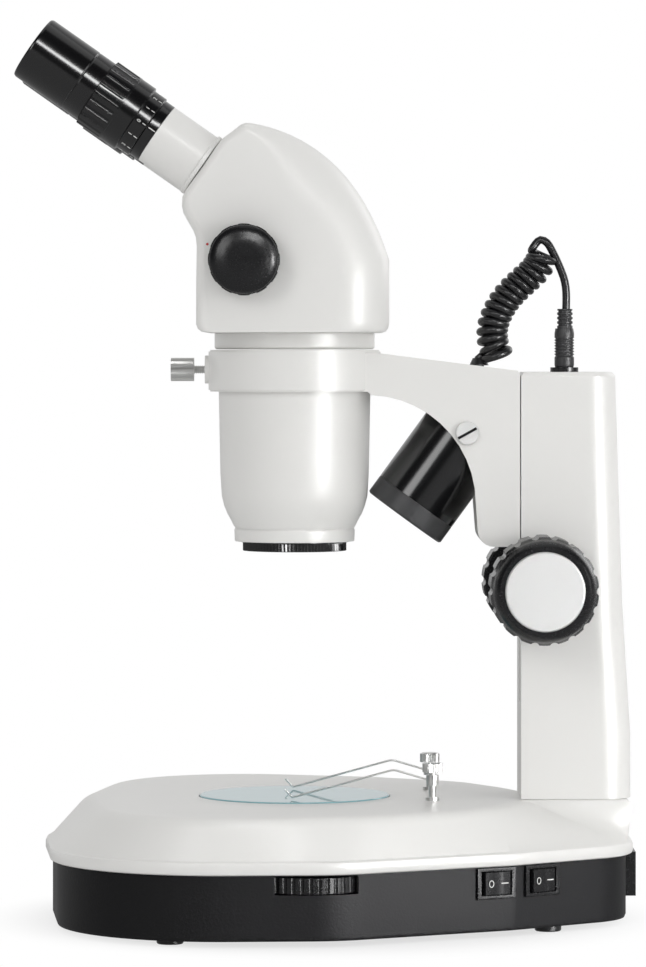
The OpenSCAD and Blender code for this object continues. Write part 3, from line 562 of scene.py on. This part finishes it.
def housing_ring(turn):
    """The outline at one side, drawn in by a quarter round that ends flat at turn 1."""
    side = 1 if turn > 0 else -1
    ring = []
    for i, (x, z) in enumerate(HOUSING):
        radius = edge_radius(x)
        quarter = abs(turn) * math.pi / 2
        drawn = Vector((x, z)) + inward(i) * radius * (1 - math.cos(quarter))
        ring.append((drawn.x, side * (HALF_WIDTH - radius * (1 - math.sin(quarter))), drawn.y))
    return ring


QUARTER_STEPS = (0.001, 0.15, 0.3, 0.44, 0.58, 0.72, 0.86, 1)
steps = [-t for t in reversed(QUARTER_STEPS)] + list(QUARTER_STEPS)
housing = wrapped("head_housing_casting", [housing_ring(t) for t in steps], capped=True, sharp=30)
dress(housing, "head", "white_paint", "head_housing")

# %% [markdown]
# ## The lamp cord
# A curly cord is a cord wound hot on a rod, so each turn lies against the next. Its middle line is
# drawn once: a tail from the gland, turns round a sagging axis, and a lead that loops over to the
# plug. The tail and the lead are listed and the turns come from a loop. A curve would do for
# the look, but this cord stretches when the arm moves, so it is swept as a mesh.

# %% The middle line of the cord, in metres
CORD_RADIUS = 0.002
TURNS = 15
TURN_RADIUS = 0.006
STEPS_PER_TURN = 18
WIDER, LOWER = 0.0014, 0.0016
TAIL = [(0.0770, 0, 0.2794), (0.0767, 0.0002, 0.2808)]
COIL_AXIS = [(0.0862, 0.2808), (0.0838, 0.2880), (0.0840, 0.2960), (0.0873, 0.3042), (0.0923, 0.3113),
             (0.0983, 0.3172), (0.1042, 0.3226), (0.1073, 0.3268), (0.1090, 0.3315)]
LEAD = [(0.1052, 0.0008, 0.3364), (0.1078, 0.0008, 0.3386), (0.1110, -0.0003, 0.3370),
        (0.1134, 0, 0.3332), (0.1164, 0, 0.3270), (0.1192, 0, 0.3200), (0.1203, 0, 0.3150),
        (0.1206, 0, 0.3100), (0.1205, 0, 0.3040)]


def through(points, steps):
    """A smooth line through points, with steps to each span."""
    points = [Vector(p) for p in points]
    ends = [points[0] * 2 - points[1], *points, points[-1] * 2 - points[-2]]
    line = []
    for a, b, c, d in zip(ends, ends[1:], ends[2:], ends[3:]):
        for k in range(steps):
            t = k / steps
            square, cube = 2 * a - 5 * b + 4 * c - d, 3 * b - a - 3 * c + d
            line.append(0.5 * (2 * b + (c - a) * t + square * t ** 2 + cube * t ** 3))
    return line + [points[-1]]


def evenly(line, count):
    """The line again, as count points an even distance apart."""
    along = [0.0]
    for a, b in zip(line, line[1:]):
        along.append(along[-1] + (b - a).length)
    result, i = [], 0
    for k in range(count):
        want = along[-1] * k / (count - 1)
        while i < len(line) - 2 and along[i + 1] < want:
            i += 1
        span = max(along[i + 1] - along[i], 1e-9)
        result.append(line[i].lerp(line[i + 1], (want - along[i]) / span))
    return result


def coil_points():
    """The turns, from the bottom up. The first is a little wider, and hangs down on the column side."""
    count = TURNS * STEPS_PER_TURN + 1
    axis = evenly(through([(x, 0, z) for x, z in COIL_AXIS], 12), count)
    points = []
    for k, centre in enumerate(axis):
        ahead = (axis[min(k + 1, count - 1)] - axis[max(k - 1, 0)]).normalized()
        sideways = Vector((ahead.z, 0, -ahead.x))
        angle = math.pi + 2 * math.pi * k / STEPS_PER_TURN
        first_turn = max(0, 1 - k / STEPS_PER_TURN)
        radius = TURN_RADIUS + WIDER * first_turn
        droop = Vector((0, 0, -LOWER * first_turn * (1 + math.cos(angle))))
        outwards = math.cos(angle) * sideways + math.sin(angle) * Vector((0, 1, 0))
        points.append(centre + droop + radius * outwards)
    return points


cord_line = through([*TAIL, *coil_points(), *LEAD], 2)

# %% Sweep the cord along its line
CORD_SIDES = 12


def swept(name, line, radius, sides):
    """A round skin of one radius along a line in metres."""
    rings = []
    turn = [2 * math.pi * s / sides for s in range(sides)]
    across = Vector((0, 1, 0))
    for k, centre in enumerate(line):
        ahead = (line[min(k + 1, len(line) - 1)] - line[max(k - 1, 0)]).normalized()
        across = (across - ahead * across.dot(ahead)).normalized()
        other = ahead.cross(across)
        rings.append([(centre + radius * (math.cos(a) * across + math.sin(a) * other)) / MM for a in turn])
    return wrapped(name, rings, capped=True, sharp=60)


cord = swept("lamp_cord", cord_line, CORD_RADIUS, CORD_SIDES)
dress(cord, None, "black_rubber", "lamp_cord_lead", "lamp_cord_coil", "lamp_cord_tail")
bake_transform(cord)

# %% [markdown]
# ## Printed marks
# A few marks are printed in white: the scale of each diopter ring with the line that it is read
# against, and the on and off marks of the rockers. A small red dot beside the zoom knob shows where
# it is read. A pattern in the paint could draw these, but a thin skin of ink that lies on its part
# keeps a crisp edge and turns with it.

# %% Ink in thin layers, and the painted shade of the screw slots
INK = 0.04
RING_SIDES = 32
NUMBER_SIZE = 1.4
surface("white_ink", (0.85, 0.85, 0.83), 0.5, grain=1500, depth=0.01, mottle=0.02)
surface("red_ink", (0.55, 0.03, 0.03), 0.45, grain=1500, depth=0.01, mottle=0.05)


def laid(matrix, points, height=0.0):
    """Flat points in millimetres, carried onto a part by a matrix."""
    return [tuple(matrix @ Vector((x, y, height))) for x, y in points]


def ink_bar(matrix, start, end, width):
    """A straight stroke of ink. In black it is the painted shade in a screw slot."""
    start, end = Vector(start), Vector(end)
    side = (end - start).orthogonal().normalized() * width / 2
    outline = [start - side, end - side, end + side, start + side]
    return wrapped("stroke", [laid(matrix, outline, h) for h in (-INK, INK)], capped=True)


def ink_ring(matrix, outer, inner):
    """A ring of ink, or a dot when inner is tiny."""
    turn = [2 * math.pi * k / RING_SIDES for k in range(RING_SIDES)]
    loops = [(inner, -INK), (outer, -INK), (outer, INK), (inner, INK)]
    rows = [laid(matrix, [(r * math.cos(a), r * math.sin(a)) for a in turn], h) for r, h in loops]
    return wrapped("ring", rows, joined=True)


def ink_number(matrix, number, height):
    """A plain number, from Blender's own letter shapes."""
    select_none()
    bpy.ops.object.text_add()
    words = bpy.context.object
    words.data.body = str(number)
    words.data.size = height * NUMBER_SIZE
    words.data.align_x = words.data.align_y = "CENTER"
    words.data.extrude = INK
    words.data.resolution_u = 3
    bpy.ops.object.convert(target="MESH")
    for vertex in words.data.vertices:
        vertex.co = (matrix @ vertex.co) * MM
    return words


def together(name, body, finish, strokes):
    """Joins strokes into one print on a body. The slot bars are joined the same way into painted shade."""
    select_none()
    for stroke in strokes:
        stroke.select_set(True)
    bpy.context.view_layer.objects.active = strokes[0]
    bpy.ops.object.join()
    strokes[0].name = name
    return dress(strokes[0], body, finish)


# %% [markdown]
# ## Eyepiece scales
# The ring of each eyepiece turns by half a turn or so either way, and its numbers show by how much.
# The eyepieces rise at a slant, so every mark is laid flat first and then carried onto the ring by
# a matrix that knows the slant. A plain collar closes the joint where each tube leaves the head.

# %% Scales on the two eyepieces
EYE_RISE = math.radians(35)
EYE_AXIS = Vector((-math.cos(EYE_RISE), 0, math.sin(EYE_RISE)))
EYE_FOOT, EYE_APART = (-59.8, 373.8), 32.5
COLLAR = [(15.6, 0.4), (16.3, 0.4), (16.7, 0.8), (16.7, 2.2), (16.3, 2.6), (15.6, 2.8)]
SCALE_RADIUS, SCALE_ALONG, SCALE_STEP = 16.78, 34.2, math.radians(27)
INDEX_RADIUS, INDEX_ALONG = 15.83, 28.8


def round_eyepiece(side, radius, along, angle):
    """The frame of a spot on an eyepiece: x round it, y along it, z out of it."""
    face = Vector((EYE_FOOT[0], side * EYE_APART, EYE_FOOT[1]))
    across, up = Vector((0, 1, 0)), Vector((math.sin(EYE_RISE), 0, math.cos(EYE_RISE)))
    out = math.cos(angle) * up + math.sin(angle) * across
    spot = face + EYE_AXIS * along + out * radius
    round_way = EYE_AXIS.cross(out)
    return Matrix.Translation(spot) @ Matrix((round_way, EYE_AXIS, out)).transposed().to_4x4()


for side, word in ((1, "left"), (-1, "right")):
    turn = [math.radians(a) for a in range(0, 360, 4)]
    rings = [[tuple(round_eyepiece(side, r, along, a).translation) for a in turn] for r, along in COLLAR]
    dress(wrapped("tube_collar_" + word, rings, joined=True), "eyepiece_" + word, "white_paint")
    middle = side * math.radians(90)
    scale = []
    for step in range(-4, 5):
        spot = round_eyepiece(side, SCALE_RADIUS, SCALE_ALONG, middle + step * SCALE_STEP)
        scale.append(ink_bar(spot, (0, 0.1), (0, 2.0), 0.32))
        scale.append(ink_number(spot @ Matrix.Translation((0, 4.0, 0)), abs(step), 2.0))
    together("scale_" + word, "diopter_" + word, "white_ink", scale)
    spot = round_eyepiece(side, INDEX_RADIUS, INDEX_ALONG, middle)
    index_line = ink_bar(spot, (0, 0), (0, 3.8), 0.45)
    together("index_line_" + word, "eyepiece_" + word, "white_ink", [index_line])

# %% [markdown]
# ## Small marks
# A ring and a bar on the two slanting halves of each rocker say off and on. The slots of the
# lamp's two pivot screws are so narrow that no light reaches their floor, so a dark bar lies in
# each.

# %% Marks on the rockers
UPRIGHT = Matrix.Rotation(math.radians(90), 4, "X")
ROCKERS = (("front", 81.9, -86.6, 27.6), ("rear", 104.6, -71.8, 36.8))
ROCKER_Z, ROCKER_REST, ROCKER_FACE = 26.4, 7, -2.76
HALF_AWAY, HALF_SLANT = 4.0, 10.5


def half_of_rocker(wall, side):
    """The frame of one slanting half of a rocker."""
    slant = Matrix.Rotation(math.radians(-side * HALF_SLANT), 4, "Z")
    return wall @ Matrix.Translation((side * HALF_AWAY, ROCKER_FACE, 0)) @ slant @ UPRIGHT


for word, x, y, angle in ROCKERS:
    wall = Matrix.Translation((x, y, ROCKER_Z)) @ Matrix.Rotation(math.radians(angle + ROCKER_REST), 4, "Z")
    off = ink_ring(half_of_rocker(wall, -1), 1.75, 1.35)
    on = ink_bar(half_of_rocker(wall, 1), (-1.9, 0), (1.9, 0), 0.45)
    together("rocker_marks_" + word, "rocker_" + word, "white_ink", [off, on])

# %% Slots of the pivot screws and the red dot
SCREW, SCREW_FACE = (70.4, 242.2), 26.06
SLOT_SLANT, SLOT_HALF, SLOT_WIDTH = math.radians(29), 5.2, 1.3
slant = Vector((math.cos(SLOT_SLANT), math.sin(SLOT_SLANT))) * SLOT_HALF
# Each slot gets a dark bar of painted shade on its floor, in the black of the pan.
for word, side in (("left", 1), ("right", -1)):
    slot = Matrix.Translation((SCREW[0], side * SCREW_FACE, SCREW[1])) @ UPRIGHT
    bar = ink_bar(slot, -slant, slant, SLOT_WIDTH)
    together("slot_shadow_" + word, "lamp", "black_texture", [bar])

side_of_head = Matrix.Translation((-57.6, -HALF_WIDTH, 335.2)) @ UPRIGHT
together("zoom_dot", "head", "red_ink", [ink_ring(side_of_head, 0.65, 0.05)])
